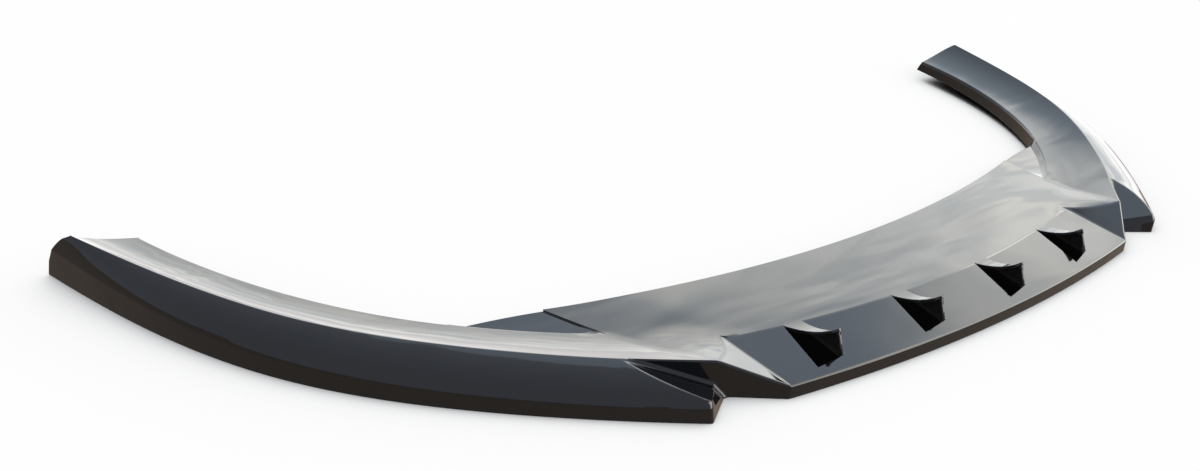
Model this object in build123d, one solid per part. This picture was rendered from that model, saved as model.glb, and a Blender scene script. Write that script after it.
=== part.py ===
from build123d import *
import os
from math import atan2, cos, degrees, hypot, pi, radians, sin, sqrt, tan

# Front splitter lip: one gloss black moulding, an open-bottomed shell, U-shaped in plan.
# X runs across the car, -Y points to the front, +Z is up, and the lower edges rest on z = 0.

# Shell
wall = 4.0                  # sheet thickness
depth = 670.0               # front edge on the centre line to the rear corners
below = 10.0                # how far the hollow's cuts reach past the open underside
above = 90.0                # how far the cuts reach over the top
far = 500.0                 # reach of the cutting blocks in plan

# Centre: front blade and shelf
front_radius = 2600.0       # plan radius of the front edge
front_height = 15.5         # top of the upright front edge
blade_depth = 84.0          # front edge to the ridge, on the centre line
ridge_radius = 1700.0
ridge_height = 26.4
shelf_depth = 148.0         # ridge to the shelf's rear edge, on the centre line
rear_radius = 2020.0
rear_height = 20.0

# Ends of the shelf: a wedge that curls up to a peak above the end wall
corner_x = 365.0            # where the front edge turns back into the end wall
wall_angle = 37.1           # plan angle of the end wall from X
peak_x = 431.0
peak_height = 42.0
peak_reach = 120.0          # length over which the shelf curls up to the peak
root_x = 478.0              # where the crease from the peak meets the shelf's rear edge
crease_dip = 3.5            # shelf sags towards the middle of the crease
dip_reach = 120.0
apron_height = 18.5         # level patch between the crease and the wing's flange
apron_angle = 4.3           # plan angle of the patch's rear edge from X
root_round = 10.0           # plan radius between that edge and the wing

# Wings, along the outer bottom edge from the corner blade's tip to the rear end
tip_x = 472.0
tip_set = 36.0              # tip behind the middle of the front edge
tip_angle = 35.0            # plan direction of the edge at the tip, from X
sweep_x = 609.0
sweep_set = 144.0
bend_x = 778.0
bend_set = 341.0
end_x = 861.0
end_angle = 84.0            # plan direction of the edge at the rear end
end_set = 41.0              # rear end's top lies further forward
end_belly = 0.46            # share of that at the end's rounded middle
end_waist = 0.62            # and how high that middle is, as a share of the rim
end_skew = 10.0             # and its inner side lies further forward
# Front value, rear value and the power of the change between them
lean_ends = 55.5, -4.0, 2.6     # rim inside the bottom edge
reach_ends = 154.0, 93.0, 1.1   # inner edge inside the bottom edge
band_ends = 16.0, 37.0, 2.5     # height of the upright lower band
rim_ends = 39.5, 62.0, 1.8      # height of the rim
inner_ends = 18.0, 31.0, 0.8    # height of the flange, well inside the rim
return_ends = 0.0, 19.0, 1.6    # lower edge of the inner wall
dip_ends = 0.35, 0.62, 1.0      # share of the flange's fall that comes close to the rim
apron_width = 86.0          # the wing runs on inwards as far as the crease
bay_shares = 0.1, 0.6, 1.0      # places along the wing that set the bay's inner arc
# Shares of the section's own width and height that shape its curves
swell_out, swell_up = 0.08, 0.6     # outer face leaves the band almost upright
crown_out, crown_up = 0.5, 0.88     # and rolls over to the rim
dip_at, level_at = 0.3, 0.7         # flange dips from the rim, then runs level

# Corner blade: the wing's outer face runs on past the end wall, with a sloping floor behind it
floor_x = 505.0             # where the floor starts at the rim, on the line of the end wall
floor_height = 39.6
floor_tilt = 17.0           # floor rises outwards
floor_rise = 2.8            # and rearwards
nose_rake = 11.0            # blade's leading edge leans back

# Scoops in the front blade, all of the same hand
scoop_pitch = 178.0
scoop_skin = 3.0
scoop_root = 28.5           # width along the ridge
scoop_mouth = 42.0          # width of the slot's front edge
scoop_set = 22.0            # front edge to the foot of the fin
scoop_height = 45.0         # top of the fin
scoop_tip = 4.0             # width of the hood's tip
scoop_skew = 7.0            # slot's outer front corner lies further forward
scoop_back = 11.0           # fin's front edge leans back
scoop_lap = 5.0             # hood starts behind the ridge
scoop_sink = 0.5            # and inside the shelf's skin
scoop_lift = 1.6            # then runs on flat before its tip turns up
scoop_flat, scoop_turn = 0.2, 0.65      # shares of its length where it runs flat and where it turns

front_y = -depth / 2
end_y = depth / 2


def heading(angle):
    return Vector(cos(radians(angle)), sin(radians(angle)))


def inward(angle):
    return heading(angle + 90)


def meet(p, p_angle, q, q_angle):
    """Plan point where two lines cross, each given by a point and a heading."""
    along, across, gap = heading(p_angle), heading(q_angle), q - p
    run = (gap.X * across.Y - gap.Y * across.X) / (along.X * across.Y - along.Y * across.X)
    return p + along * run


def bow(x, middle, radius):
    return middle + radius - sqrt(radius**2 - x**2)


def front_edge(x):
    return bow(x, front_y, front_radius)


def ridge(x):
    return bow(x, front_y + blade_depth, ridge_radius)


def rear_edge(x):
    return bow(x, front_y + blade_depth + shelf_depth, rear_radius)


def blade_top(x, y):
    share = (y - front_edge(x)) / (ridge(x) - front_edge(x))
    return front_height + share * (ridge_height - front_height)


def both(solid):
    return [solid, solid.mirror(Plane.YZ)]


def prism(outline, low=-2 * below, high=above):
    """Upright block on a plan outline, given as points or as edges."""
    if isinstance(outline[0], Vector):
        wire = Wire.make_polygon(outline, close=True)
    else:
        wire = Wire(outline)
    return Pos(0, 0, low) * Solid.extrude(Face(wire), Vector(0, 0, high - low))


def half_space(plane):
    """Large block on the upper side of a plane."""
    return plane * Box(2 * far, 2 * far, far, align=(Align.CENTER, Align.CENTER, Align.MIN))


corner = Vector(corner_x, front_edge(corner_x))
peak = corner + heading(wall_angle) * ((peak_x - corner_x) / cos(radians(wall_angle)))
root = Vector(root_x, rear_edge(root_x))
crease_angle = degrees(atan2(root.Y - peak.Y, root.X - peak.X))
shelf_slope = (ridge_height - rear_height) / shelf_depth
shelf_half = root_x + 60.0


def shelf_level(x, y):
    return ridge_height - shelf_slope * (y - ridge(x))


peak_rise = peak_height - shelf_level(peak.X, peak.Y)


def shelf_top(x, y):
    spot = Vector(abs(x), y) - peak
    curl = peak_rise * max(0.0, 1 - spot.length / peak_reach) ** 2
    along = spot.dot(heading(crease_angle)) / (root - peak).length
    off = abs(spot.dot(inward(crease_angle)))
    dip = crease_dip * max(0.0, 1 - off / dip_reach) ** 2 * sin(pi * min(max(along, 0.0), 1.0))
    return shelf_level(x, y) + curl - dip


def shelf_body(inset):
    """Block under the shelf, from the front edge to past the rear edge."""
    columns, rows = 48, 16
    y_low, y_high = front_y - below, rear_edge(shelf_half) + below
    grid = []
    for i in range(columns + 1):
        x = shelf_half * (2 * i / columns - 1)
        ys = [y_low + (y_high - y_low) * j / rows for j in range(rows + 1)]
        grid.append([Vector(x, y, shelf_top(x, y) - inset) for y in ys])
    under = Solid.extrude(Face.make_surface_from_array_of_points(grid), Vector(0, 0, -above))
    side = shelf_half - below
    front = [Vector(s * side, front_edge(s * side) + inset) for s in (-1, 0, 1)]
    outline = [
        Edge.make_three_point_arc(*front),
        Edge.make_line(front[2], Vector(side, y_high - 1)),
        Edge.make_line(Vector(side, y_high - 1), Vector(-side, y_high - 1)),
        Edge.make_line(Vector(-side, y_high - 1), front[0]),
    ]
    return prism(outline, -below if inset else 0) & under


def blade_cut(inset):
    """Space over the front blade, between the two wedges."""
    edges = []
    for line, shift in ((ridge, 2 * below), (front_edge, -below)):
        points = []
        for x in (-corner_x, 0, corner_x):
            y = line(x) + shift
            points.append(Vector(x, y, blade_top(x, y) - inset))
        edges.append(Edge.make_three_point_arc(*points))
    return Solid.extrude(Face.make_surface_from_curves(*edges), Vector(0, 0, above))


def wedge_cut(inset):
    """Space over the triangular facet between ridge end, peak and front corner."""
    a = Vector(corner_x, ridge(corner_x), ridge_height)
    b = Vector(peak.X, peak.Y, peak_height)
    c = Vector(corner.X, corner.Y, front_height)
    facet = Plane(origin=c - Vector(0, 0, inset), x_dir=a - c, z_dir=(b - c).cross(a - c))
    side = Plane(origin=(corner_x, 0, 0), x_dir=(0, 1, 0), z_dir=(1, 0, 0))
    return half_space(facet) & half_space(side)


def side_cut(inset):
    """Space outside the end wall and outside the crease; the hollow runs on across the crease."""
    wall_point = corner + inward(wall_angle) * inset
    crease_point = peak - inward(crease_angle) * 2 * inset
    apex = meet(wall_point, wall_angle, crease_point, crease_angle)
    return prism([
        apex - heading(wall_angle) * far,
        apex,
        apex + heading(crease_angle) * far,
        Vector(end_x + far, apex.Y + far),
        Vector(end_x + far, apex.Y - far),
    ])


def centre(inset=0.0):
    body = shelf_body(inset) - blade_cut(inset)
    for cut in both(wedge_cut(inset)) + both(side_cut(inset)):
        body = body - cut
    return body


def blend(ends, t):
    front, rear, power = ends
    return front + (rear - front) * t**power


tip = Vector(tip_x, front_y + tip_set)
edge_path = Edge.make_spline(
    [
        tip - heading(tip_angle) * 2 * below,
        Vector(sweep_x, front_y + sweep_set),
        Vector(bend_x, front_y + bend_set),
        Vector(end_x, end_y) + heading(end_angle) * 2 * below,
    ],
    tangents=[heading(tip_angle), heading(end_angle)],
)


def across(t, reach, z=0.0):
    """Point at a distance inwards from the wing's outer bottom edge."""
    way = edge_path.tangent_at(t)
    p = edge_path.position_at(t) + Vector(-way.Y, way.X) * reach
    return Vector(p.X, p.Y, z)


def wing_section(t, inset):
    """Closed section across the wing, square to its outer bottom edge.

    The hollow's roof is lower by about the wall, less on the upright face and more at the rim.
    """
    lean, shore, band, rim = (blend(ends, t) for ends in (lean_ends, reach_ends, band_ends, rim_ends))
    inner, dip = blend(inner_ends, t), blend(dip_ends, t)
    rise, drop = rim - band, rim - inner
    crest = lean + inset
    span = shore - lean
    wide = shore + apron_width
    hem = -below if inset else blend(return_ends, t)
    outer_foot = across(t, inset, -below if inset else 0)
    band_top = across(t, inset, band - 0.4 * inset)
    rim_top = across(t, crest, rim - 1.2 * inset)
    apron_end = across(t, wide, inner - inset)
    inner_foot = across(t, wide, hem)
    hem_foot = across(t, shore - 3 * below, hem)
    face = Edge.make_bezier(
        band_top,
        across(t, swell_out * lean + inset, band + swell_up * rise - 0.6 * inset),
        across(t, crown_out * lean + inset, band + crown_up * rise - inset),
        rim_top,
    )
    flange = Edge.make_bezier(
        rim_top,
        across(t, crest + dip_at * span, rim - dip * drop - inset),
        across(t, crest + level_at * span, inner - inset),
        apron_end,
    )
    return Wire([
        Edge.make_line(outer_foot, band_top),
        face,
        flange,
        Edge.make_line(apron_end, inner_foot),
        Edge.make_line(inner_foot, hem_foot),
        Edge.make_line(hem_foot, outer_foot),
    ])


def wing(inset=0.0):
    """Right wing, up to the crease along the end of the shelf."""
    stations = 10
    body = Solid.make_loft([wing_section(i / stations, inset) for i in range(stations + 1)])
    return body - prism([
        peak - heading(crease_angle) * far,
        peak + heading(crease_angle) * far,
        Vector(-far, peak.Y + far),
        Vector(-far, peak.Y - far),
    ])


def between_wings(inset, low=-2 * below):
    """Space between the inner arcs of the two wings."""
    right = Edge.make_three_point_arc(*[across(t, blend(reach_ends, t) - inset) for t in bay_shares])
    left = right.mirror(Plane.YZ)
    return prism([
        right,
        Edge.make_line(right @ 1, left @ 1),
        left,
        Edge.make_line(left @ 0, right @ 0),
    ], low)


def bay(inset=0.0):
    """Space between the wings, behind the shelf's rear edge and the aprons."""
    arc = [Vector(s * root_x, rear_edge(s * root_x) - inset) for s in (-1, 0, 1)]
    run = heading(apron_angle) * far
    right, left = arc[2] + run, arc[0] + Vector(-run.X, run.Y)
    behind = prism([
        Edge.make_three_point_arc(*arc),
        Edge.make_line(arc[2], right),
        Edge.make_line(right, Vector(right.X, far)),
        Edge.make_line(Vector(right.X, far), Vector(left.X, far)),
        Edge.make_line(Vector(left.X, far), left),
        Edge.make_line(left, arc[0]),
    ])
    space = (between_wings(inset) & behind).solid()
    roots = space.edges().filter_by(Axis.Z).sort_by(Axis.Y)[:2]
    return space.fillet(root_round + inset, roots)


def corner_cut(inset=0.0):
    """Space over the corner blade's floor, in front of the end wall."""
    start = corner + heading(wall_angle) * ((floor_x - corner_x) / cos(radians(wall_angle)))
    slope = (-tan(radians(floor_tilt)), -tan(radians(floor_rise)), 1)
    over_floor = Plane(origin=(start.X, start.Y, floor_height), z_dir=slope)
    outside = Plane(origin=corner, x_dir=(0, 0, 1), z_dir=-inward(wall_angle))
    return half_space(over_floor.offset(-inset)) & half_space(outside.offset(-inset))


def nose_cut(inset=0.0):
    """Space ahead of the corner blade's leading edge."""
    ahead = -heading(tip_angle) + Vector(0, 0, tan(radians(nose_rake)))
    return half_space(Plane(origin=tip, z_dir=ahead).offset(-inset))


def end_cut():
    """Space behind the rounded rear end."""
    low = Vector(end_x, end_y, 0)
    high = Vector(end_x, end_y - end_set, rim_ends[1])
    middle = Vector(end_x, end_y - end_set * end_belly, high.Z * end_waist)
    curve = Edge.make_three_point_arc(low, middle, high)
    under = low - Vector(0, 0, 2 * below)
    over = high + (curve % 1) * far
    outline = Wire([
        curve,
        Edge.make_line(high, over),
        Edge.make_line(over, Vector(end_x, far, over.Z)),
        Edge.make_line(Vector(end_x, far, over.Z), Vector(end_x, far, under.Z)),
        Edge.make_line(Vector(end_x, far, under.Z), under),
        Edge.make_line(under, low),
    ])
    inwards = Vector(-1, -tan(radians(end_skew)), 0)
    start = Face(outline).moved(Pos(*(inwards * -4 * below)))
    return Solid.extrude(start, inwards * far / 2)


def filled(inset=0.0):
    """The lip's outer form, or with an inset the form of its hollow."""
    body = centre(inset)
    side = wing(inset) - between_wings(inset, apron_height - inset)
    side = side - corner_cut(inset) - nose_cut(inset)
    for half in both(side):
        body = body + half
    return body - bay(inset)


def scoop(middle):
    """Slot through the blade, and over it a hood that folds down into a fin on the right."""
    root_y = ridge(middle)
    foot = Vector(middle, front_edge(middle) + scoop_set)
    left = Vector(middle - scoop_root / 2, root_y)
    right = Vector(middle + scoop_root / 2, root_y)
    mouth = foot - Vector(scoop_mouth, scoop_skew)
    half_fin = Vector(scoop_skin / 2, 0)
    slot = prism([left, right + half_fin, foot + half_fin, mouth])
    along = (right - foot) / (root_y - foot.Y)
    top = foot + along * scoop_back + Vector(0, 0, scoop_height)

    def sweep(start, end):
        """Edge that leaves the shelf just behind the ridge and curves up to the hood's tip."""
        low = start + along * scoop_lap
        run = Vector(end.X, end.Y) - low
        sunk = Vector(0, 0, ridge_height - scoop_sink)
        flat = Vector(0, 0, ridge_height + scoop_lift)
        return Edge.make_bezier(low + sunk, low + run * scoop_flat + flat, low + run * scoop_turn + flat, end)

    right_top = sweep(right, top)
    left_top = sweep(left, top - Vector(scoop_tip, 0))
    drop = Vector(0, 0, -scoop_skin)
    hood = Solid.extrude(Face.make_surface_from_curves(left_top, right_top), drop)
    blade_foot = foot + Vector(0, 0, blade_top(foot.X, foot.Y)) + drop
    ridge_foot = (right_top @ 0) + drop
    side = Wire([
        right_top,
        Edge.make_line(top, blade_foot),
        Edge.make_line(blade_foot, ridge_foot),
        Edge.make_line(ridge_foot, right_top @ 0),
    ])
    fin = Solid.extrude(Face(side), Vector(scoop_skin, 0, 0))
    return slot, hood + fin


outer = filled()
hollow = filled(wall)
lip = outer - hollow
for cut in both(end_cut()):
    lip = lip - cut
for k in (-1.5, -0.5, 0.5, 1.5):
    slot, hood = scoop(k * scoop_pitch)
    lip = lip - slot + hood

os.makedirs("parts", exist_ok=True)
export_step(lip, "parts/splitter_lip.step")
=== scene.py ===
from math import cos, pi, radians, sin, sqrt, tan

import bmesh
import bpy
import numpy as np
from mathutils import Matrix, Vector


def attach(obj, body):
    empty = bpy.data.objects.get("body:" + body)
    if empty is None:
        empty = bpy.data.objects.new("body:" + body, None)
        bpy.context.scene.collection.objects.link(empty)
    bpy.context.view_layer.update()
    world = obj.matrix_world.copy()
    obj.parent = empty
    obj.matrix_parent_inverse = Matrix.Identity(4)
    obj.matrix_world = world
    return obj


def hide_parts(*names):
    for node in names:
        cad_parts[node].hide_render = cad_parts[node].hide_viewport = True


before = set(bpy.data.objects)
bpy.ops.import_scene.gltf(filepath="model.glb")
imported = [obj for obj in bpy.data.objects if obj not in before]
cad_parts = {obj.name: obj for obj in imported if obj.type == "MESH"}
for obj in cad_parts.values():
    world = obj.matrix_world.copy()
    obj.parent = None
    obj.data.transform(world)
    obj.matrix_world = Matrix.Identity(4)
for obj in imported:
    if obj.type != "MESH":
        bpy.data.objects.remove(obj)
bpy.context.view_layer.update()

# The lip: one sheet of gloss black plastic, vacuum-formed over a mould and trimmed, then lanced for the
# scoops in its front blade. It is bonded and screwed under a bumper through its shelf and flanges. Its
# sizes are in millimetres, with x across the car, y to the rear and z up.
MM = 0.001
front_y, end_y = -335.0, 335.0
front_radius, ridge_radius, rear_radius = 2600.0, 1700.0, 2020.0
blade_depth, shelf_depth = 84.0, 148.0
front_height, ridge_height, rear_height = 15.5, 26.4, 20.0


def heading(angle):
    """Plan direction at this angle from x, in degrees."""
    return np.array([cos(radians(angle)), sin(radians(angle))])


def cross(a, b):
    return a[..., 0] * b[..., 1] - a[..., 1] * b[..., 0]


def between(a, b, share):
    return a + (b - a) * share


def bezier(shape, u):
    a, b, c, d = shape
    return a * (1 - u)**3 + 3 * b * u * (1 - u)**2 + 3 * c * u**2 * (1 - u) + d * u**3


def zero_of(f, low, high):
    """Where a function of one number changes sign."""
    at_low = f(low)
    for _ in range(50):
        middle = (low + high) / 2
        if (f(middle) > 0) == (at_low > 0):
            low = middle
        else:
            high = middle
    return (low + high) / 2


def bow(x, radius):
    return radius - np.sqrt(radius**2 - np.square(x))


def front_edge(x):
    return front_y + bow(x, front_radius)


def ridge(x):
    return front_y + blade_depth + bow(x, ridge_radius)


def rear_edge(x):
    return front_y + blade_depth + shelf_depth + bow(x, rear_radius)


def blade_height(share):
    return between(front_height, ridge_height, share)


# Front blade: like panels side by side, each with a slot, a hood and a fin. A panel is first laid flat, by
# distance across, share of the way from the front edge to the ridge, and height over the blade.
scoop_count, panel_half = 4, 89.0
scoop_root, scoop_mouth, scoop_height, scoop_tip, scoop_foot = 28.5, 42.0, 45.0, 4.0, 5.0
mouth_share, foot_share, edge_share, tip_share = 0.17, 0.25, 0.21, 0.375
hood_bends = (0.2, 0.7), (0.65, 1.7)
left_columns, hood_columns, right_columns, fin_columns = 5, 5, 6, 4
near_rows, far_rows = 3, 8
front_band = [-front_height, -front_height / 2]
weld = 0.001

left_root, right_root = -scoop_root / 2, scoop_root / 2
left_front = left_root - (scoop_mouth - right_root) / (1 - mouth_share)
right_slope = (right_root - scoop_foot) / (1 - foot_share)
right_front = right_root - right_slope
columns = []
for count, *ends in (
    (left_columns, -panel_half, left_root, -panel_half, left_front, edge_share, mouth_share),
    (hood_columns, left_root, right_root, left_front, right_front, mouth_share, foot_share),
    (right_columns, right_root, panel_half, right_front, panel_half, foot_share, edge_share),
):
    columns += [(k / count, *ends) for k in range(count)]
columns.append((1.0, *ends))
hood_start, hood_end = left_columns, left_columns + hood_columns
slot_row = len(front_band) + near_rows


def panel_column(share, root_a, root_b, front_a, front_b, slot_a, slot_b):
    """Points from the foot of the front edge to the ridge, with one at the lower end of the slot."""
    at_ridge, at_front = between(root_a, root_b, share), between(front_a, front_b, share)
    slot = between(slot_a, slot_b, share)
    rows = [slot * k / near_rows for k in range(near_rows)]
    rows += [slot + (1 - slot) * k / far_rows for k in range(far_rows + 1)]
    points = [(at_front, 0.0, z) for z in front_band]
    return points + [(between(at_front, at_ridge, s), s, 0.0) for s in rows]


def hood_edge(root_x, tip_x):
    """Edge of the hood, level with the shelf at the ridge and curving up to the tip."""
    shape = [(root_x, 1.0, ridge_height)]
    for part, lift in hood_bends:
        shape.append((between(root_x, tip_x, part), between(1.0, tip_share, part), ridge_height + lift))
    shape.append((tip_x, tip_share, scoop_height))
    points = []
    for k in range(far_rows + 1):
        x, share, z = bezier(np.array(shape), k / far_rows)
        points.append((x, share, z - blade_height(share)))
    return points


def new_verts(mesh, points, side):
    return [mesh.verts.new((p[0] * side, p[1], p[2])) for p in points]


def add_grid(mesh, rows, both=False):
    """Quads between rows of points; with both, also their mirror image."""
    for side in ((1, -1) if both else (1,)):
        verts = [new_verts(mesh, row, side) for row in rows]
        for low, high in zip(verts, verts[1:]):
            for i in range(len(low) - 1):
                mesh.faces.new((low[i], low[i + 1], high[i + 1], high[i]))


def add_fan(mesh, rows):
    """Triangles between rows that each have one point more than the last, and their mirror image."""
    for side in (1, -1):
        verts = [new_verts(mesh, row, side) for row in rows]
        for low, high in zip(verts, verts[1:]):
            for i in range(len(low)):
                mesh.faces.new((low[i], high[i], high[i + 1]))
            for i in range(len(low) - 1):
                mesh.faces.new((low[i], low[i + 1], high[i + 1]))


def add_plate(mesh, loop):
    """Plate with this outline, and its mirror image."""
    for side in (1, -1):
        mesh.faces.new(new_verts(mesh, loop, side))


panel = bmesh.new()
panel_grid = [panel_column(*c) for c in columns]
add_grid(panel, panel_grid[:hood_start + 1])
add_grid(panel, [c[:slot_row + 1] for c in panel_grid[hood_start:hood_end + 1]])
add_grid(panel, panel_grid[hood_end:])
hood_right = hood_edge(right_root, right_root - right_slope * (1 - tip_share))
hood_left = hood_edge(left_root, hood_right[-1][0] - scoop_tip)
blade_line = panel_grid[hood_end][slot_row:][::-1]
for count, first, last in ((hood_columns, hood_left, hood_right), (fin_columns, hood_right, blade_line)):
    pairs = [(np.array(a), np.array(b)) for a, b in zip(first, last)]
    add_grid(panel, [[between(a, b, k / count) for a, b in pairs] for k in range(count + 1)])
bmesh.ops.remove_doubles(panel, verts=panel.verts, dist=weld)
for v in panel.verts:
    v.co = (v.co.x * MM, v.co.y, v.co.z * MM)
panel_mesh = bpy.data.meshes.new("scoop_panel")
panel.to_mesh(panel_mesh)
panel.free()
blade = bpy.data.objects.new("front_blade", panel_mesh)
bpy.context.scene.collection.objects.link(blade)


# The panels stand in a row, which is then bent to the front edge and the ridge
def group_socket(tree, in_out, name, kind):
    return tree.interface.new_socket(name, in_out=in_out, socket_type="NodeSocket" + kind)


def add_node(tree, kind, values=(), **settings):
    """Node with its settings, and with its sockets set or linked by name or number."""
    node = tree.nodes.new(kind)
    for key, value in settings.items():
        setattr(node, key, value)
    for key, value in dict(values).items():
        if isinstance(value, bpy.types.NodeSocket):
            tree.links.new(value, node.inputs[key])
        else:
            node.inputs[key].default_value = value
    return node


def math_node(tree, operation, *values):
    return add_node(tree, "ShaderNodeMath", enumerate(values), operation=operation).outputs[0]


blade_sizes = {
    "Pitch": 2 * panel_half * MM,
    "Front Edge": front_y * MM,
    "Blade Depth": blade_depth * MM,
    "Front Radius": front_radius * MM,
    "Ridge Radius": ridge_radius * MM,
    "Front Height": front_height * MM,
    "Ridge Height": ridge_height * MM,
}
blade_tree = bpy.data.node_groups.new("blade_with_scoops", "GeometryNodeTree")
group_socket(blade_tree, "INPUT", "Geometry", "Geometry")
group_socket(blade_tree, "OUTPUT", "Geometry", "Geometry")
count_socket = group_socket(blade_tree, "INPUT", "Scoops", "Int")
size_sockets = {name: group_socket(blade_tree, "INPUT", name, "Float") for name in blade_sizes}
finish_socket = group_socket(blade_tree, "INPUT", "Finish", "Material")
given = blade_tree.nodes.new("NodeGroupInput").outputs


def blade_node(kind, **values):
    return add_node(blade_tree, kind, {key.replace("_", " "): value for key, value in values.items()})


def blade_math(operation, *values):
    return math_node(blade_tree, operation, *values)


row_length = blade_math("MULTIPLY", blade_math("SUBTRACT", given["Scoops"], 1.0), given["Pitch"])
line_start = blade_node("ShaderNodeCombineXYZ", X=blade_math("MULTIPLY", row_length, -0.5))
line_step = blade_node("ShaderNodeCombineXYZ", X=given["Pitch"])
line = blade_node("GeometryNodeMeshLine", Count=given["Scoops"], Start_Location=line_start.outputs[0],
                  Offset=line_step.outputs[0])
copies = blade_node("GeometryNodeInstanceOnPoints", Points=line.outputs[0], Instance=given["Geometry"])
row_of_panels = blade_node("GeometryNodeRealizeInstances", Geometry=copies.outputs[0])
joined = blade_node("GeometryNodeMergeByDistance", Geometry=row_of_panels.outputs[0], Distance=0.01 * MM)
flat_place = blade_tree.nodes.new("GeometryNodeInputPosition").outputs[0]
flat_x, flat_share, flat_height = blade_node("ShaderNodeSeparateXYZ", Vector=flat_place).outputs


def bowed(radius):
    squares = [blade_math("MULTIPLY", side, side) for side in (radius, flat_x)]
    return blade_math("SUBTRACT", radius, blade_math("SQRT", blade_math("SUBTRACT", *squares)))


at_front = blade_math("ADD", given["Front Edge"], bowed(given["Front Radius"]))
at_ridge = blade_math("ADD", given["Front Edge"], bowed(given["Ridge Radius"]))
at_ridge = blade_math("ADD", at_ridge, given["Blade Depth"])
depth = blade_math("SUBTRACT", at_ridge, at_front)
bent_y = blade_math("ADD", at_front, blade_math("MULTIPLY", flat_share, depth))
climb = blade_math("SUBTRACT", given["Ridge Height"], given["Front Height"])
bent_z = blade_math("ADD", given["Front Height"], blade_math("MULTIPLY", flat_share, climb))
bent_z = blade_math("ADD", bent_z, flat_height)
bent = blade_node("ShaderNodeCombineXYZ", X=flat_x, Y=bent_y, Z=bent_z)
bent_panels = blade_node("GeometryNodeSetPosition", Geometry=joined.outputs[0], Position=bent.outputs[0])
finished = blade_node("GeometryNodeSetMaterial", Geometry=bent_panels.outputs[0], Material=given["Finish"])
blade_node("NodeGroupOutput", Geometry=finished.outputs[0])


def made_mesh(thing):
    bpy.context.view_layer.update()
    return bpy.data.meshes.new_from_object(thing.evaluated_get(bpy.context.evaluated_depsgraph_get()))


gloss = bpy.data.materials.new("gloss_black_face")
making = blade.modifiers.new("scoops", "NODES")
making.node_group = blade_tree
making[count_socket.identifier] = scoop_count
for name, value in blade_sizes.items():
    making[size_sockets[name].identifier] = value
making[finish_socket.identifier] = gloss
blade_made = made_mesh(blade)
blade.modifiers.remove(making)
bpy.data.objects.remove(blade)

skin = bmesh.new()
skin.from_mesh(blade_made)
for v in skin.verts:
    v.co /= MM

# Shelf, from the ridge to its turned-down rear edge, and the wedges at its ends that curl up to a peak
# over the end walls. The shelf sags a little towards the crease at each end.
corner_x, wall_angle = 365.0, 37.1
peak_x, peak_height, peak_reach = 431.0, 42.0, 120.0
crease_x, crease_dip, dip_reach = 478.0, 3.5, 120.0

corner = np.array([corner_x, front_edge(corner_x)])
wall_way = heading(wall_angle)
peak = corner + wall_way * (peak_x - corner_x) / cos(radians(wall_angle))
crease_end = np.array([crease_x, rear_edge(crease_x)])
crease_length = np.hypot(*(crease_end - peak))
crease_way = (crease_end - peak) / crease_length
shelf_slope = (ridge_height - rear_height) / shelf_depth


def shelf_level(x, y):
    return ridge_height - shelf_slope * (y - ridge(x))


peak_rise = peak_height - shelf_level(peak[0], peak[1])


def shelf_top(x, y):
    spot = np.array([abs(x), y]) - peak
    curl = peak_rise * max(0.0, 1 - np.hypot(*spot) / peak_reach)**2
    along = min(max(spot @ crease_way / crease_length, 0.0), 1.0)
    dip = crease_dip * max(0.0, 1 - abs(cross(spot, crease_way)) / dip_reach)**2 * sin(pi * along)
    return shelf_level(x, y) + curl - dip


def ridge_rise(x):
    """How far the shelf's front edge stands above its plain level."""
    return shelf_top(x, ridge(x)) - shelf_level(x, ridge(x))


# The blade rises with the shelf beside each wedge
for v in skin.verts:
    share = (v.co.y - front_edge(v.co.x)) / (ridge(v.co.x) - front_edge(v.co.x))
    v.co.z += ridge_rise(v.co.x) * max(share, 0.0)

# Wings: a section square to the outer bottom edge, which changes evenly from front to rear. Each pair of
# ends gives a size at the tip and at the rear end, and the power by which it goes from one to the other.
tip, tip_angle = np.array([472.0, front_y + 36.0]), 35.0
end_x, end_angle = 861.0, 84.0
wing_marks, run_out = ((609.0, 144.0), (778.0, 341.0)), 20.0
path_steps, way_step = 400, 0.003
lean_ends = 55.5, -4.0, 2.6
reach_ends = 154.0, 93.0, 1.1
band_ends = 16.0, 37.0, 2.5
rim_ends = 39.5, 62.0, 1.8
inner_ends = 18.0, 31.0, 0.8
hem_ends = 0.0, 19.0, 1.6
dip_ends = 0.35, 0.62, 1.0
level_ends = 0.0, 86.0, 0.55

knots = np.array([
    tip - heading(tip_angle) * run_out,
    *[(x, front_y + y) for x, y in wing_marks],
    np.array([end_x, end_y]) + heading(end_angle) * run_out,
])
gaps = np.hypot(*np.diff(knots, axis=0).T)
rise = np.diff(knots, axis=0) / gaps[:, None]**2
stiffness = np.array([
    [2 / gaps[0] + 2 / gaps[1], 1 / gaps[1]],
    [1 / gaps[1], 2 / gaps[1] + 2 / gaps[2]],
])
bending = np.array([
    3 * (rise[0] + rise[1]) - heading(tip_angle) / gaps[0],
    3 * (rise[1] + rise[2]) - heading(end_angle) / gaps[2],
])
ways = [heading(tip_angle), *np.linalg.solve(stiffness, bending), heading(end_angle)]
path = []
for k in range(3):
    start, stop = knots[k], knots[k + 1]
    shape = start, start + ways[k] * gaps[k] / 3, stop - ways[k + 1] * gaps[k] / 3, stop
    path += [bezier(shape, i / path_steps) for i in range(path_steps)]
path = np.array(path + [knots[3]])
path_length = np.r_[0, np.cumsum(np.hypot(*np.diff(path, axis=0).T))]
whole = path_length[-1]


def foot(t):
    return np.array([np.interp(t * whole, path_length, path[:, i]) for i in (0, 1)])


def way(t):
    step = foot(min(t + way_step, 1)) - foot(max(t - way_step, 0))
    return step / np.hypot(*step)


def inward(t):
    ahead = way(t)
    return np.array([-ahead[1], ahead[0]])


def place(t, across, z):
    p = foot(t) + inward(t) * across
    return p[0], p[1], z


def blend(ends, t):
    return ends[0] + (ends[1] - ends[0]) * max(t, 0.0)**ends[2]


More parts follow.
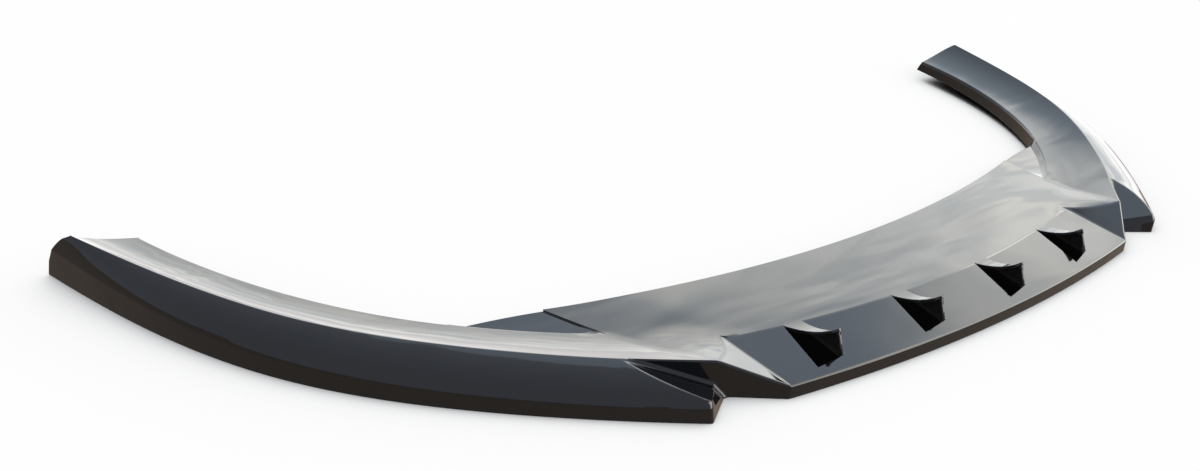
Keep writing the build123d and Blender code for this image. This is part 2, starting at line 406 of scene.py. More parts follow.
def reach_line(t, point, direction):
    """Distance across the wing at which a straight plan line is met."""
    return cross(point - foot(t), direction) / cross(inward(t), direction)


def circle_through(p, q, r):
    rows = 2 * np.array([q - p, r - p])
    middle = np.linalg.solve(rows, np.array([q @ q - p @ p, r @ r - p @ p]))
    return middle, np.hypot(*(p - middle))


fold_marks = [np.array(place(t, blend(reach_ends, t), 0)[:2]) for t in (0.1, 0.6, 1.0)]
fold_middle, fold_radius = circle_through(*fold_marks)


def past_fold(p):
    return np.hypot(*(p - fold_middle)) - fold_radius


def reach_fold(t):
    """Distance across the wing of the flange's inner edge."""
    off = foot(t) - fold_middle
    half = off @ inward(t)
    return -half - sqrt(half**2 - off @ off + fold_radius**2)


def station(point):
    """Place along the wing whose section runs through a plan point."""
    return zero_of(lambda t: (point - foot(t)) @ way(t), 0.0, 0.6)


def wall_reach(t):
    return reach_line(t, corner, wall_way)


corner_end_x, lean_fade, rim_power = 512.0, 0.12, 1.5
t_peak = station(peak)
t_corner = zero_of(lambda t: place(t, wall_reach(t), 0)[0] - corner_end_x, 0.05, 0.25)
lean_gap = wall_reach(t_corner) - blend(lean_ends, t_corner)


def lean(t):
    """Distance of the rim inside the bottom edge; ahead of the corner it follows the end wall."""
    if t <= t_corner:
        return wall_reach(t)
    return blend(lean_ends, t) + lean_gap * max(0.0, 1 - (t - t_corner) / lean_fade)**2


def rim_height(t):
    """Height of the rim, which climbs to the peak ahead of the corner."""
    ahead = max(0.0, (t_corner - t) / (t_corner - t_peak))
    return blend(rim_ends, max(t, t_corner)) + (peak_height - blend(rim_ends, t_corner)) * ahead**rim_power


# The outer face bends at its belly and its shoulder, each given by its share of the lean, its least share
# of the climb, and its height
belly, shoulder = (0.08, 0.10, 0.60), (0.50, 0.12, 0.88)
band_tuck, band_shares = 0.08, [0.0, 0.5]
face_count, edge_room, edge_room_share = 9, 7.0, 0.35
flange_bends, flange_power = (0.3, 0.7), 1.25
face_marks, flange_marks = 81, np.linspace(0, 1, 161)[:, None]


def face_shape(t):
    out, low, high = lean(t), blend(band_ends, t), rim_height(t)
    shape = [(0.0, low)]
    for part, least, level in (belly, shoulder):
        shape.append((max(part * out, least * (high - low)), between(low, high, level)))
    return np.array(shape + [(out, high)])


def band_point(t, share):
    """Point on the band under the outer face, which tucks in a little towards its foot."""
    low = blend(band_ends, t)
    return place(t, band_tuck * low * (1 - share), low * share)


def face_point(t, u):
    return place(t, *bezier(face_shape(t), u))


def face_rows(t, top=1.0):
    """Points up the outer face, evenly spaced but for a row of its own beside the top edge."""
    curve = bezier(face_shape(t), np.linspace(0, top, face_marks)[:, None])
    length = np.r_[0, np.cumsum(np.hypot(*np.diff(curve, axis=0).T))]
    even = length[-1] - min(edge_room, edge_room_share * length[-1])
    marks = [even * k / (face_count - 1) for k in range(face_count)] + [length[-1]]
    return [place(t, np.interp(m, length, curve[:, 0]), np.interp(m, length, curve[:, 1])) for m in marks]


def flange_height(t, across):
    out, high, inner = lean(t), rim_height(t), blend(inner_ends, t)
    shore = blend(reach_ends, t)
    curve = bezier(np.array([
        (out, high),
        (between(out, shore, flange_bends[0]), high - blend(dip_ends, t) * (high - inner)),
        (between(out, shore, flange_bends[1]), inner),
        (shore + blend(level_ends, t), inner),
    ]), flange_marks)
    return float(np.interp(across, curve[:, 0], curve[:, 1]))


def flange_point(t, across):
    return place(t, across, flange_height(t, across))


# Rows of the shelf run through the places where the corner, the fold and the crease meet
corner_row, fold_row_gap, rear_rows = 11, 2, 7
fold_row = corner_row + fold_row_gap


def crease_point(share):
    return peak + (crease_end - peak) * share


fold_share = zero_of(lambda w: past_fold(crease_point(w)), 0.3, 1.0)
corner_share = zero_of(lambda w: station(crease_point(w)) - t_corner, 0.2, 0.9)
row_shares = [corner_share * k / corner_row for k in range(corner_row)]
row_shares += [corner_share + (fold_share - corner_share) * k / fold_row_gap for k in range(fold_row_gap)]
row_shares += [fold_share + (1 - fold_share) * k / rear_rows for k in range(rear_rows + 1)]

ridge_xs = sorted({round(v.co.x, 3) for v in skin.verts if abs(v.co.y - ridge(v.co.x)) < 0.01})
middle_rows = []
for x in (-corner_x, *ridge_xs, corner_x):
    ys = [between(ridge(x), rear_edge(x), w) for w in row_shares]
    middle_rows.append([(x, y, shelf_top(x, y)) for y in ys])
add_grid(skin, middle_rows)

# Wedge facet, a flat triangle between the blade, the shelf and the end wall
end_columns, wall_rows, facet_search = 7, 5, 25.0
facet_back = np.array([corner_x, ridge(corner_x), shelf_top(corner_x, ridge(corner_x))])
facet_peak = np.array([peak[0], peak[1], peak_height])
facet_foot = np.array([corner_x, corner[1], front_height])
facet_normal = np.cross(facet_back - facet_foot, facet_peak - facet_foot)


def facet_height(x, y):
    off_x, off_y = x - facet_foot[0], y - facet_foot[1]
    return facet_foot[2] - (facet_normal[0] * off_x + facet_normal[1] * off_y) / facet_normal[2]


wedge_edge = []
for k in range(end_columns + 1):
    x = corner_x + (peak_x - corner_x) * k / end_columns
    y = guess = facet_back[1] + (facet_peak[1] - facet_back[1]) * k / end_columns
    if 0 < k < end_columns:
        y = zero_of(lambda v: shelf_top(x, v) - facet_height(x, v),
                    guess - facet_search, guess + facet_search)
    wedge_edge.append(np.array([x, y]))


def blade_column(x):
    points = []
    for _, share, over in panel_grid[-1]:
        y = front_edge(x) + share * (ridge(x) - front_edge(x))
        points.append((x, y, blade_height(share) + ridge_rise(x) * share + over))
    return points


edge_column = blade_column(corner_x)
add_grid(skin, [blade_column(scoop_count * panel_half), edge_column], both=True)
wall_side = [tuple(facet_peak + (facet_foot - facet_peak) * k / wall_rows) for k in range(wall_rows + 1)]
wedge_top = [(p[0], p[1], shelf_top(p[0], p[1])) for p in wedge_edge]
add_plate(skin, edge_column[len(front_band):-1] + wedge_top + wall_side[1:-1])

# Wing stations: through the crease as far as the shelf's rear edge, along the apron's rear edge, and then
# back along the wing to its rounded end
apron_step, apron_angle, apron_bow, apron_ramp = 1.8, 9.5, 3.0, 8.0
apron_columns, rear_columns = 8, 40
apron_way = heading(apron_angle)
root = crease_end + apron_way * zero_of(lambda run: past_fold(crease_end + apron_way * run), 0.0, 300.0)
crease_stations = [t_peak] + [station(crease_point(w)) for w in row_shares[1:]]
t_crease, t_root = crease_stations[-1], station(root)
apron_stations = [t_crease + (t_root - t_crease) * k / apron_columns for k in range(apron_columns + 1)]


def crease_reach(t):
    return reach_line(t, peak, crease_way)


def apron_reach(t):
    """Distance across the wing of the apron's rear edge, which bows a little to the rear."""
    share = (t - t_crease) / (t_root - t_crease)
    return reach_line(t, crease_end, apron_way) + 4 * apron_bow * share * (1 - share)


def flange_shares(count):
    return [(k / max(count, 1))**flange_power for k in range(count + 1)]


def flange_row(t, limit, count):
    return [flange_point(t, lean(t) + (limit - lean(t)) * f) for f in flange_shares(count)]


def outer_row(t):
    return [band_point(t, k) for k in band_shares] + face_rows(t)


flange_rows = []
for k, t in enumerate(crease_stations[:fold_row + 1]):
    flange_rows.append(flange_row(t, crease_reach(t), min(k, corner_row)))
for t in crease_stations[fold_row + 1:] + apron_stations[1:]:
    flange_rows.append(flange_row(t, reach_fold(t), corner_row))
add_fan(skin, flange_rows[:corner_row + 1])
add_grid(skin, flange_rows[corner_row:], both=True)
add_grid(skin, [outer_row(t) for t in crease_stations[corner_row:] + apron_stations[1:]], both=True)

# Rear part, from the apron to the end, where each line of the section stops on the end's curve
end_set, end_skew, end_bulge = 45.0, 10.0, 1.6


def past_end(p):
    climb = min(max(p[2] / rim_ends[1], 0.0), 1.0)
    stop = end_y - end_set * (1 - (1 - climb**end_bulge)**(1 / end_bulge))
    return p[1] - stop + tan(radians(end_skew)) * (end_x - p[0])


def rear_line(line):
    """Points of one line of the wing's section from the apron's root to the rear end."""
    t_end = zero_of(lambda t: past_end(line(t)), 0.8, 1.0)
    return [line(t_root + (t_end - t_root) * k / rear_columns) for k in range(rear_columns + 1)]


def flange_line(f):
    return lambda t: flange_point(t, lean(t) + (reach_fold(t) - lean(t)) * f)


outer_lines = [rear_line(lambda t, k=k: band_point(t, k)) for k in band_shares]
outer_lines += [rear_line(lambda t, k=k: face_rows(t)[k]) for k in range(face_count + 1)]
add_grid(skin, outer_lines, both=True)
add_grid(skin, [rear_line(flange_line(f)) for f in flange_shares(corner_row)], both=True)

# Shelf ends, which run up to the flange along the crease
crease_lift = [p[2] - shelf_top(p[0], p[1]) for p in [r[-1] for r in flange_rows[:fold_row + 1]]]
fold_lift = crease_lift[-1]
crease_lift += [fold_lift * (1 - (w - fold_share) / (1 - fold_share)) for w in row_shares[fold_row + 1:]]
end_rows = []
for k in range(end_columns + 1):
    x = corner_x + (crease_x - corner_x) * k / end_columns
    spots = [between(wedge_edge[k], np.array([x, rear_edge(x)]), w) for w in row_shares]
    share = (k / end_columns)**2
    end_rows.append([(*p, shelf_top(*p) + lift * share) for p, lift in zip(spots, crease_lift)])
add_grid(skin, end_rows, both=True)
shelf_crease = end_rows[-1]

# Apron, which ramps down from the flange, the step beside it, and the walls that turn down at the rear
step_rows, ramp_columns, level_columns, ramp_limit = 3, 5, 3, 0.8
crease_levels = [p[2] - apron_step * min(1.0, k / step_rows) for k, p in enumerate(shelf_crease[fold_row:])]


def apron_level(t, across):
    """Height of the apron at this distance across the wing."""
    fold = reach_fold(t)
    near = min(max(1 - (across - fold) / apron_ramp, 0.0), 1.0)
    low = float(np.interp(t, crease_stations[fold_row:], crease_levels))
    return low + (flange_height(t, fold) - low) * near**2 * (3 - 2 * near)


apron_rows = [(t, reach_fold(t), crease_reach(t)) for t in crease_stations[fold_row + 1:]]
apron_rows += [(t, reach_fold(t), apron_reach(t)) for t in apron_stations[1:-1]]
apron_grid = []
for t, outer, inner in apron_rows:
    width = inner - outer
    ramp = min(apron_ramp, ramp_limit * width)
    steps = [ramp * k / ramp_columns for k in range(ramp_columns + 1)]
    steps += [ramp + (width - ramp) * k / level_columns for k in range(1, level_columns + 1)]
    apron_grid.append([place(t, outer + step, apron_level(t, outer + step)) for step in steps])
add_grid(skin, apron_grid, both=True)
fold_point, root_point = flange_rows[fold_row][-1], flange_rows[-1][-1]
for p, row in ((fold_point, apron_grid[0]), (root_point, apron_grid[-1])):
    for side_a, side_b in zip(row, row[1:]):
        add_plate(skin, [p, side_a, side_b])
apron_crease = [fold_point] + [r[-1] for r in apron_grid[:rear_rows]]
for k, low in enumerate(apron_crease[1:]):
    high = shelf_crease[fold_row + k:fold_row + k + 2]
    add_plate(skin, ([] if k == 0 else [apron_crease[k]]) + high + [low])

hem_root = blend(hem_ends, t_root)
apron_rear = [r[-1] for r in apron_grid[rear_rows - 1:]] + [root_point]
apron_wall = []
for k, (x, y, z) in enumerate(apron_rear):
    hem = hem_root * k / (len(apron_rear) - 1)
    apron_wall.append([(x, y, z), (x, y, (z + hem) / 2), (x, y, hem)])
add_grid(skin, apron_wall, both=True)
crease_step = shelf_crease[-1][2] - apron_crease[-1][2]
shelf_wall = [(-r[-1][0], r[-1][1], r[-1][2]) for r in reversed(end_rows[1:])]
shelf_wall += [r[-1] for r in middle_rows + end_rows[1:]]
add_grid(skin, [
    [(x, y, h) for h in (z, z - crease_step, (z - crease_step) / 2, 0.0)] for x, y, z in shelf_wall])


def return_line(share):
    def line(t):
        x, y, z = flange_point(t, reach_fold(t))
        return x, y, z + (blend(hem_ends, t) - z) * share
    return line


add_grid(skin, [rear_line(return_line(share)) for share in (0.0, 0.5, 1.0)], both=True)

# Corner blade: the outer face runs on past the end wall, with a sloping floor behind it
floor_tilt, floor_rise, nose_rake = 17.0, 2.8, 11.0
blade_columns, nose_columns = 9, 4
t_tip = station(tip)
floor_top = np.array(face_point(t_corner, 1.0))
floor_slope = np.array([tan(radians(floor_tilt)), tan(radians(floor_rise))])


def floor_height(p):
    return floor_top[2] + floor_slope @ (np.array(p[:2]) - floor_top[:2])


def floor_cut(t):
    """How far up the outer face the floor meets it."""
    if t >= t_corner - 1e-6:
        return 1.0

    def over_floor(u):
        p = face_point(t, u)
        return p[2] - floor_height(p)
    return zero_of(over_floor, 0.0, 1.0)


def raked(z):
    return t_tip + z * tan(radians(nose_rake)) / whole


def outer_cut_row(share):
    """Section of the outer face ahead of the corner, from the raked nose's line up to the floor."""
    low = blend(band_ends, t_tip)
    heights = [low * k for k in band_shares] + [p[2] for p in face_rows(t_tip, floor_cut(t_tip))]
    points = []
    for k, z in enumerate(heights):
        t = raked(z) + (t_corner - raked(z)) * share
        if k < len(band_shares):
            points.append(band_point(t, band_shares[k]))
        else:
            points.append(face_rows(t, floor_cut(t))[k - len(band_shares)])
    return points


blade_rows = [outer_cut_row(k / blade_columns) for k in range(blade_columns + 1)]
add_grid(skin, blade_rows, both=True)

# Nose of the corner blade, which twists from its leading edge to the end wall
inner_top_x, inner_foot_x = 430.5, 420.0


def on_wall(x):
    return corner + wall_way * (x - corner_x) / wall_way[0]


inner_top = np.array([*on_wall(inner_top_x), floor_height(on_wall(inner_top_x))])
inner_foot = np.array([*on_wall(inner_foot_x), 0.0])
nose_rows = []
for k, p in enumerate(np.array(blade_rows[0])):
    inner = inner_foot + (inner_top - inner_foot) * k / (len(blade_rows[0]) - 1)
    nose_rows.append([tuple(p + (inner - p) * n / nose_columns) for n in range(nose_columns + 1)])
add_grid(skin, nose_rows, both=True)
flange_front = [r[0] for r in flange_rows[1:corner_row + 1]]
nose_inner = [r[-1] for r in nose_rows]
add_plate(skin, edge_column[:len(front_band)] + wall_side[::-1] + flange_front + nose_inner[::-1])
add_plate(skin, [r[-1] for r in blade_rows[::-1]] + nose_rows[-1][1:])

skin_weld, least_edge = 0.03, 0.01
bmesh.ops.remove_doubles(skin, verts=skin.verts, dist=skin_weld)
bmesh.ops.dissolve_degenerate(skin, edges=skin.edges, dist=least_edge)
bmesh.ops.recalc_face_normals(skin, faces=skin.faces)
if sum(f.normal.z * f.calc_area() for f in skin.faces) < 0:
    bmesh.ops.reverse_faces(skin, faces=skin.faces)

# Rounding of the edges, which is widest round the corners, and narrower where the faces leave little room
edge_round, room_share = 7.0, 0.42
trim_round, back_trim_round, ridge_round = 0.8, 1.4, 2.5
corner_round, low_round, plain_round = 6.0, 5.0, 3.5
corner_from_x, corner_to_y, low_below_z = 440.0, -200.0, 18.0
ridge_turn, least_turn, turn_fade = radians(5), radians(9), radians(8)
ridge_stop, ridge_slack, plate_sides, foot_room_share, least_length = 25.0, 0.5, 8, 0.22, 0.5
weights = skin.edges.layers.float.new("bevel_weight_edge")


def edge_width(e):
    if e.is_boundary:
        return trim_round
    middle = (e.verts[0].co + e.verts[1].co) / 2
    turn = e.calc_face_angle(0.0)
    area = min(f.calc_area() * (2 if len(f.verts) == 3 else 1) for f in e.link_faces)
    room = room_share * area / max(e.calc_length(), least_length)
    if all(abs(v.co.y - ridge(v.co.x)) < ridge_slack for v in e.verts):
        rounded = turn > ridge_turn and abs(middle.x) < corner_x - ridge_stop
        return min(ridge_round, room) if rounded else 0.0
    if turn <= least_turn:
        return 0.0
    on_wing = abs(middle.x) > corner_from_x
    widest = low_round if middle.z < low_below_z else plain_round
    if on_wing and middle.y < corner_to_y:
        widest = corner_round
    if any(len(f.verts) > plate_sides for f in e.link_faces):
        beside = Vector((abs(middle.x), middle.y, middle.z)) - Vector(facet_foot)
        widest = min(widest, foot_room_share * beside.length)
    sharp = min((turn - least_turn) / turn_fade, 1.0) if on_wing else 1.0
    return min(widest, room) * sharp


for e in skin.edges:
    e[weights] = edge_width(e) / edge_round

# Thickness: the back of the sheet, set off squarely from every face that meets at a point
sheet, longest_set, settle, least_angle = 4.0, 1.7, 0.01, 0.01
front_faces = list(skin.faces)
trimmed_edges = [e for e in skin.edges if e.is_boundary]
behind_vert = {}
for v in list(skin.verts):
    normals = np.array([l.face.normal for l in v.link_loops])
    angles = np.array([max(l.calc_angle(), least_angle) for l in v.link_loops])
    angles /= angles.sum()
    spread = (normals * angles[:, None]).T @ normals + settle * np.eye(3)
    move = -(1 + settle) * sheet * np.linalg.solve(spread, normals.T @ angles)
    move *= min(1.0, longest_set * sheet / np.hypot(np.hypot(*move[:2]), move[2]))
    back_spot = v.co + Vector(move)
    back_spot.z = max(back_spot.z, 0.0)
    behind_vert[v] = skin.verts.new(back_spot)
for f in front_faces:
    f.smooth = True
    back_face = skin.faces.new([behind_vert[v] for v in reversed(f.verts)])
    back_face.material_index = 1
    back_face.smooth = True
for e in trimmed_edges:
    loop = e.link_loops[0]
    first, second = loop.vert, loop.link_loop_next.vert
    trim_face = skin.faces.new((second, first, behind_vert[first], behind_vert[second]))
    trim_face.smooth = True
    for edge in trim_face.edges:
        if behind_vert[first] in edge.verts and behind_vert[second] in edge.verts:
            edge[weights] = back_trim_round / edge_round
for v in skin.verts:
    v.co *= MM
lip_mesh = bpy.data.meshes.new("moulded_lip")
skin.to_mesh(lip_mesh)
skin.free()
lip = bpy.data.objects.new("moulded_lip", lip_mesh)
bpy.context.scene.collection.objects.link(lip)
back = bpy.data.materials.new("grained_black_back")
lip_mesh.materials.clear()
lip_mesh.materials.append(gloss)
lip_mesh.materials.append(back)
rounding = lip.modifiers.new("rounded_edges", "BEVEL")
rounding.limit_method = "WEIGHT"
rounding.width = edge_round * MM
rounding.segments = 3
rounding.harden_normals = True
rounding.use_clamp_overlap = False
split_plates = lip.modifiers.new("split_plates", "TRIANGULATE")
split_plates.min_vertices = 5
split_plates.ngon_method = "BEAUTY"
split_plates.keep_custom_normals = True

# Surface of a thermoformed sheet: slow ripples drawn out by the mould, a fine grain, and smears
ripple_stretch, smear_scale = (0.45, 1.6, 1.0), 2.3
ripple_look, grain_look, smear_look = (2.0, 0.4, 0.6), (2.0, 0.5, 0.0), (4.0, 0.55, 1.2)
tone_low, tone_gain = 0.75, 0.5
surface = bpy.data.node_groups.new("formed_surface", "ShaderNodeTree")
group_socket(surface, "INPUT", "Place", "Vector")
for name in ("Ripple Size", "Ripple Height", "Grain Size", "Grain Height", "Smooth", "Dull"):
    group_socket(surface, "INPUT", name, "Float")
for name in ("Height", "Roughness", "Tone"):
    group_socket(surface, "OUTPUT", name, "Float")
asked = surface.nodes.new("NodeGroupInput").outputs


def surface_math(operation, *values):
    return math_node(surface, operation, *values)


def surface_noise(spot, scale, look):
    detail, rough, distort = look
    return add_node(surface, "ShaderNodeTexNoise", {
        "Vector": spot, "Scale": scale, "Detail": detail, "Roughness": rough, "Distortion": distort,
    }).outputs["Fac"]


drawn = add_node(surface, "ShaderNodeVectorMath", {0: asked["Place"], 1: ripple_stretch},
                 operation="MULTIPLY")
ripple = surface_noise(drawn.outputs[0], asked["Ripple Size"], ripple_look)
grain = surface_noise(asked["Place"], asked["Grain Size"], grain_look)
smear_size = surface_math("MULTIPLY", asked["Ripple Size"], smear_scale)
smear = surface_noise(asked["Place"], smear_size, smear_look)
dulling = surface_math("MULTIPLY", smear, surface_math("SUBTRACT", asked["Dull"], asked["Smooth"]))
add_node(surface, "NodeGroupOutput", {
    "Height": surface_math("ADD", surface_math("MULTIPLY", ripple, asked["Ripple Height"]),
                           surface_math("MULTIPLY", grain, asked["Grain Height"])),
    "Roughness": surface_math("ADD", asked["Smooth"], dulling),
    "Tone": surface_math("ADD", tone_low, surface_math("MULTIPLY", smear, tone_gain)),
})

finishes = (
    (gloss, (0.0050, 0.0056, 0.0070), {
        "Ripple Size": 5.0, "Ripple Height": 0.0032, "Grain Size": 420.0, "Grain Height": 0.000006,
        "Smooth": 0.03, "Dull": 0.10}),
    (back, (0.0090, 0.0090, 0.0095), {
        "Ripple Size": 6.0, "Ripple Height": 0.0010, "Grain Size": 900.0, "Grain Height": 0.000250,
        "Smooth": 0.36, "Dull": 0.52}),
)
for finish, colour, values in finishes:
    finish.use_nodes = True
    net = finish.node_tree
    shader = net.nodes["Principled BSDF"]
    where = net.nodes.new("ShaderNodeTexCoord").outputs["Object"]
    look = add_node(net, "ShaderNodeGroup", {"Place": where, **values}, node_tree=surface).outputs
    tint = add_node(net, "ShaderNodeMix", {"Factor": 1.0, "A": (*colour, 1), "B": look["Tone"]},
                    data_type="RGBA", blend_type="MULTIPLY")
    bump = add_node(net, "ShaderNodeBump", {"Distance": 1.0, "Strength": 1.0, "Height": look["Height"]})
    net.links.new(tint.outputs[2], shader.inputs["Base Color"])
    net.links.new(look["Roughness"], shader.inputs["Roughness"])
    net.links.new(bump.outputs["Normal"], shader.inputs["Normal"])
    shader.inputs["IOR"].default_value = 1.5

lip_made = made_mesh(lip)
lip.modifiers.clear()
lip.data = lip_made
for v in lip_made.vertices:
    v.co.z = max(v.co.z, 0.0)
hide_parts("splitter_lip")
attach(lip, "root")

# Studio: a pale floor in a white surround, under a softbox on a stand. Painted shade darkens the floor's
# colour under and close beside the lip, and its white glow fades there as a painted shadow. Cloths, a strip
# light and a dark flag hang round the lip, and mats lie beside it, for the gloss to reflect; one dark mat
# is painted shade under the blade. Sizes are in metres, and a fade goes from one place to another and from
# one level to another.
scene = bpy.context.scene
floor_half, floor_z = 30.0, -0.0005
floor_corners = (-1, -1), (1, -1), (1, 1), (-1, 1)
shade_distance, sheen_on_floor = 0.16, 0.2
# Painted shade: the floor's colour darkens, and its white glow fades as a painted shadow, where little is
# open above it
painted_under_shade, painted_shadow_fade = (0.15, 0.5, 0.01, 0.8), (0.35, 0.97, 0.0, 0.97)


def stage_card(name, corners, faces, finish):
    mesh = bpy.data.meshes.new(name)
    mesh.from_pydata(corners, [], faces)
    mesh.materials.append(finish)
    card = bpy.data.objects.new(name, mesh)
    scene.collection.objects.link(card)
    return card


def flat_card(name, outline, z, finish):
    return stage_card(name, [(x, y, z) for x, y in outline], [range(len(outline))], finish)


def seen_directly(tree, glossy):
    """One for rays from the camera, and a part for rays by way of a gloss or a clear surface."""
    rays = tree.nodes.new("ShaderNodeLightPath").outputs
    mirrored = math_node(tree, "MAXIMUM", rays["Is Glossy Ray"], rays["Is Transmission Ray"])
    return math_node(tree, "MAXIMUM", rays["Is Camera Ray"], math_node(tree, "MULTIPLY", mirrored, glossy))


def faded(tree, value, fade, **settings):
    values = dict(zip(("From Min", "From Max", "To Min", "To Max"), fade), Value=value)
    return add_node(tree, "ShaderNodeMapRange", values, **settings).outputs["Result"]


pale = bpy.data.materials.new("pale_floor")
pale.use_nodes = True
pale_tree = pale.node_tree
pale_shader = pale_tree.nodes["Principled BSDF"]
pale_shader.inputs["Roughness"].default_value = 0.95
pale_shader.inputs["Specular IOR Level"].default_value = 0.0
# How open the floor is above each point. It paints shade into the floor's colour under the lip, and a
# painted shadow into its white glow
openness = add_node(pale_tree, "ShaderNodeAmbientOcclusion", {"Distance": shade_distance}, samples=8)
open_sky = openness.outputs["AO"]
pale_tree.links.new(faded(pale_tree, open_sky, painted_under_shade), pale_shader.inputs["Base Color"])
whitened = add_node(pale_tree, "ShaderNodeEmission", {"Color": (1, 1, 1, 1), "Strength": 1.0})
white_share = math_node(pale_tree, "MULTIPLY", seen_directly(pale_tree, sheen_on_floor),
                        faded(pale_tree, open_sky, painted_shadow_fade))
floor_look = add_node(pale_tree, "ShaderNodeMixShader",
                      {0: white_share, 1: pale_shader.outputs[0], 2: whitened.outputs[0]})
pale_tree.links.new(floor_look.outputs[0], pale_tree.nodes["Material Output"].inputs["Surface"])
flat_card("floor", [(x * floor_half, y * floor_half) for x, y in floor_corners], floor_z, pale)

scene.world = bpy.data.worlds.new("surround")
scene.world.use_nodes = True
sky = scene.world.node_tree
white = sky.nodes["Background"]
white.inputs["Color"].default_value = (1, 1, 1, 1)
white.inputs["Strength"].default_value = 1.0
ambient = add_node(sky, "ShaderNodeBackground", {"Color": (0.95, 0.97, 1, 1), "Strength": 0.75})
pick = add_node(sky, "ShaderNodeMixShader",
                {0: seen_directly(sky, 1.0), 1: ambient.outputs[0], 2: white.outputs[0]})
sky.links.new(pick.outputs[0], sky.nodes["World Output"].inputs["Surface"])

bearing_step, card_rows, round_y = 4.0, 12, -0.1


def around(azimuth, elevation, distance):
    """Point at this bearing from +x and this height angle, seen from the middle of the lip."""
    a, e = radians(azimuth), radians(elevation)
    return distance * cos(e) * cos(a), distance * cos(e) * sin(a) + round_y, distance * sin(e)


def plain_glow(name, colour, strength):
    finish = bpy.data.materials.new(name)
    finish.use_nodes = True
    tree = finish.node_tree
    tree.nodes.remove(tree.nodes["Principled BSDF"])
    glow = add_node(tree, "ShaderNodeEmission", {"Color": (*colour, 1), "Strength": strength})
    tree.links.new(glow.outputs[0], tree.nodes["Material Output"].inputs["Surface"])
    return finish


def curved_card(name, distance, outline, finish):
    """Card bent round the lip, from a low to a high height angle at each bearing."""
    bearings = np.arange(outline[0][0], outline[-1][0] + 0.1, bearing_step)
    lows, highs = (np.interp(bearings, [o[0] for o in outline], [o[k] for o in outline]) for k in (1, 2))
    corners = [around(a, low + (high - low) * k / card_rows, distance)
               for a, low, high in zip(bearings, lows, highs) for k in range(card_rows + 1)]
    column = card_rows + 1
    starts = [c * column + k for c in range(len(bearings) - 1) for k in range(card_rows)]
    return stage_card(name, corners, [(s, s + column, s + column + 1, s + 1) for s in starts], finish)


# The back cloth is bright up to a slanting line and pale blue above it. It hangs in folds, which show as
# streaks in the gloss.
cloth = plain_glow("back_cloth", (1, 1, 1), 1.0)
cloth_tree = cloth.node_tree
fold_stretch, fold_look = (0.9, 0.9, 2.0), {"Scale": 0.8, "Detail": 4.0, "Distortion": 1.4}
slant, slant_top, slant_floor, fold_wander = -0.78, 10.4, 5.25, 0.9
cloth_dim, cloth_warm, cloth_blue = (2.0, 2.12, 2.2, 1), (3.5, 3.45, 3.25, 1), (1.02, 1.2, 1.4, 1)
blue_fade, streak_fade = (-0.3, 1.9, 0.0, 1.0), (0.32, 0.68, 0.0, 1.0)
side_fade, end_fade = (4.5, 9.5, 1.08, 0.86), (-2.5, 6.0, 0.3, 1.0)
cloth_where = cloth_tree.nodes.new("ShaderNodeTexCoord").outputs["Object"]
cloth_x, cloth_y, cloth_z = add_node(cloth_tree, "ShaderNodeSeparateXYZ", {0: cloth_where}).outputs
stretched = add_node(cloth_tree, "ShaderNodeMapping", {"Vector": cloth_where, "Scale": fold_stretch})
folds = add_node(cloth_tree, "ShaderNodeTexNoise", {"Vector": stretched.outputs["Vector"], **fold_look})
folds = folds.outputs["Fac"]
slant_line = math_node(cloth_tree, "MULTIPLY_ADD", cloth_y, slant, slant_top)
slant_line = math_node(cloth_tree, "MAXIMUM", slant_line, slant_floor)
above_line = math_node(cloth_tree, "SUBTRACT", cloth_z, slant_line)
above_line = math_node(cloth_tree, "MULTIPLY_ADD", folds, fold_wander, above_line)
blue_share = faded(cloth_tree, above_line, blue_fade, interpolation_type="SMOOTHSTEP")
streak_share = faded(cloth_tree, folds, streak_fade)
bright = add_node(cloth_tree, "ShaderNodeMix", {"Factor": streak_share, "A": cloth_dim, "B": cloth_warm},
                  data_type="RGBA").outputs[2]
cloth_colour = add_node(cloth_tree, "ShaderNodeMix", {"Factor": blue_share, "A": bright, "B": cloth_blue},
                        data_type="RGBA").outputs[2]
side_level = faded(cloth_tree, cloth_y, side_fade)
end_level = faded(cloth_tree, cloth_x, end_fade, interpolation_type="SMOOTHSTEP")
cloth_glow = cloth_tree.nodes["Emission"].inputs
cloth_tree.links.new(cloth_colour, cloth_glow["Color"])
cloth_tree.links.new(math_node(cloth_tree, "MULTIPLY", side_level, end_level), cloth_glow["Strength"])

# The other cards glow evenly. Hung ones are given by bearing and height angles, and mats by their outline.
hung_cards = (
    ("bright_streak", 13.5, (1.0, 0.97, 0.9), 5.0, [(22, 20, 24), (28, 23, 27)]),
    ("strip_light", 12.0, (1.0, 0.98, 0.92), 5.0, [(-62, 2, 44), (-2, 2, 44)]),
    ("dark_flag", 7.0, (0.62, 0.67, 0.77), 1.0, [
        (48, 50, 90), (96, 46, 90), (104, 0, 90), (280, 0, 90), (288, 47, 90), (332, 47, 90),
        (348, 60, 90), (376, 60, 90), (384, 52, 90), (408, 50, 90)]),
)
mats = (
    ("bright_cloth", 0.002, (1.0, 0.975, 0.97), 1.9, [
        (-0.45, -0.1), (-0.40, -0.04), (0.30, -0.05), (0.46, 0.08), (0.58, 0.22), (0.66, 0.43),
        (0.93, 0.43), (0.93, -6.0), (11.0, -6.0), (11.0, 12.0), (-4.0, 12.0), (-0.82, 0.36),
        (-0.74, 0.2), (-0.62, 0.05)]),
    ("brown_mat", 0.001, (0.42, 0.34, 0.28), 0.95, [
        (-9.0, -9.0), (0.88, -9.0), (0.88, 0.41), (-0.22, 0.41), (-3.0, 8.0), (-9.0, 8.0)]),
    # A dark glowing mat under the blade's front is painted shade, for the gloss to reflect where the floor
    # lies in shade
    ("painted_shade_mat", 0.002, (0.05, 0.042, 0.036), 1.0, [
        (-0.32, -0.30), (0.42, -0.30), (0.42, -0.06), (-0.32, -0.06)]),
)
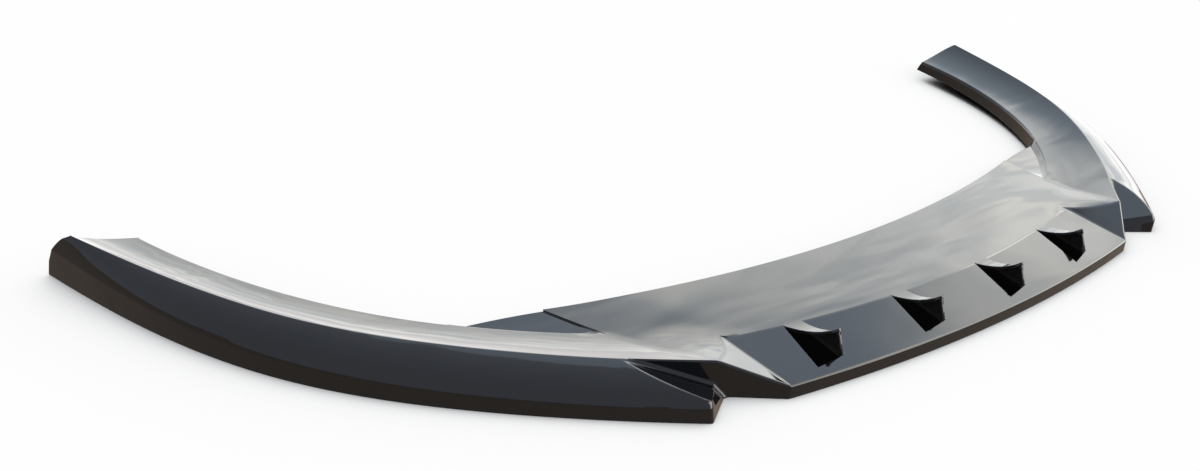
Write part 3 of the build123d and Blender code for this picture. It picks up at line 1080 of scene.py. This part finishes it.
cloth_distance, cloth_outline = 14.0, [(-20, 0, 60), (104, 0, 60)]
cards = [curved_card("back_cloth", cloth_distance, cloth_outline, cloth)]
for name, distance, colour, strength, outline in hung_cards:
    cards.append(curved_card(name, distance, outline, plain_glow(name, colour, strength)))
for name, z, colour, strength, outline in mats:
    cards.append(flat_card(name, outline, z, plain_glow(name, colour, strength)))
for card in cards:
    card.visible_camera = False

# A near-black glowing card under the shell is painted shade, out of sight but for what shows through the
# scoops' slots
shade_xs = [-355.0, -180.0, 0.0, 180.0, 355.0]
shade_front, shade_rear, shade_z = 8.0, 10.0, 0.0004
shade_spots = [(x, front_edge(x) + shade_front) for x in shade_xs]
shade_spots += [(x, rear_edge(x) - shade_rear) for x in reversed(shade_xs)]
slot_shade = flat_card("slot_shade", [(x * MM, y * MM) for x, y in shade_spots], shade_z,
                       plain_glow("slot_shade", (0.0015, 0.0014, 0.0013), 1.0))
slot_shade.visible_glossy = False
for card in (*cards, slot_shade):
    card.visible_diffuse = False
    card.visible_shadow = False

softbox_size, softbox_power, softbox_spot = 3.0, 40.0, Vector((1.2, 1.6, 3.4))
softbox_data = bpy.data.lights.new("softbox", "AREA")
softbox_data.shape = "RECTANGLE"
softbox_data.size = softbox_data.size_y = softbox_size
softbox_data.energy = softbox_power
softbox = bpy.data.objects.new("softbox", softbox_data)
softbox_turn = softbox_spot.to_track_quat("Z", "Y").to_matrix().to_4x4()
softbox.matrix_world = Matrix.Translation(softbox_spot) @ softbox_turn
softbox.visible_glossy = False
scene.collection.objects.link(softbox)

# Camera: a plain 45 mm lens on a 36 mm wide frame, held a little out of level at the near left, where the
# photograph was taken from. Nothing is shifted, and all of the lip is in focus.
azimuth, elevation, roll = radians(-47.02), radians(23.30), radians(6.95)
camera_spot = -1.5194, -1.0898, 0.7510
behind = Vector((sin(azimuth) * cos(elevation), -cos(azimuth) * cos(elevation), sin(elevation)))
level = Vector((cos(azimuth), sin(azimuth), 0.0))
upright = behind.cross(level)
right = cos(roll) * level + sin(roll) * upright
up = -sin(roll) * level + cos(roll) * upright
camera_data = bpy.data.cameras.new("camera")
camera_data.lens, camera_data.sensor_width, camera_data.sensor_fit = 45.0, 36.0, "HORIZONTAL"
camera = bpy.data.objects.new("camera", camera_data)
camera.matrix_world = Matrix.Translation(camera_spot) @ Matrix((right, up, behind)).transposed().to_4x4()
scene.collection.objects.link(camera)
scene.camera = camera
scene.view_settings.view_transform = "Standard"
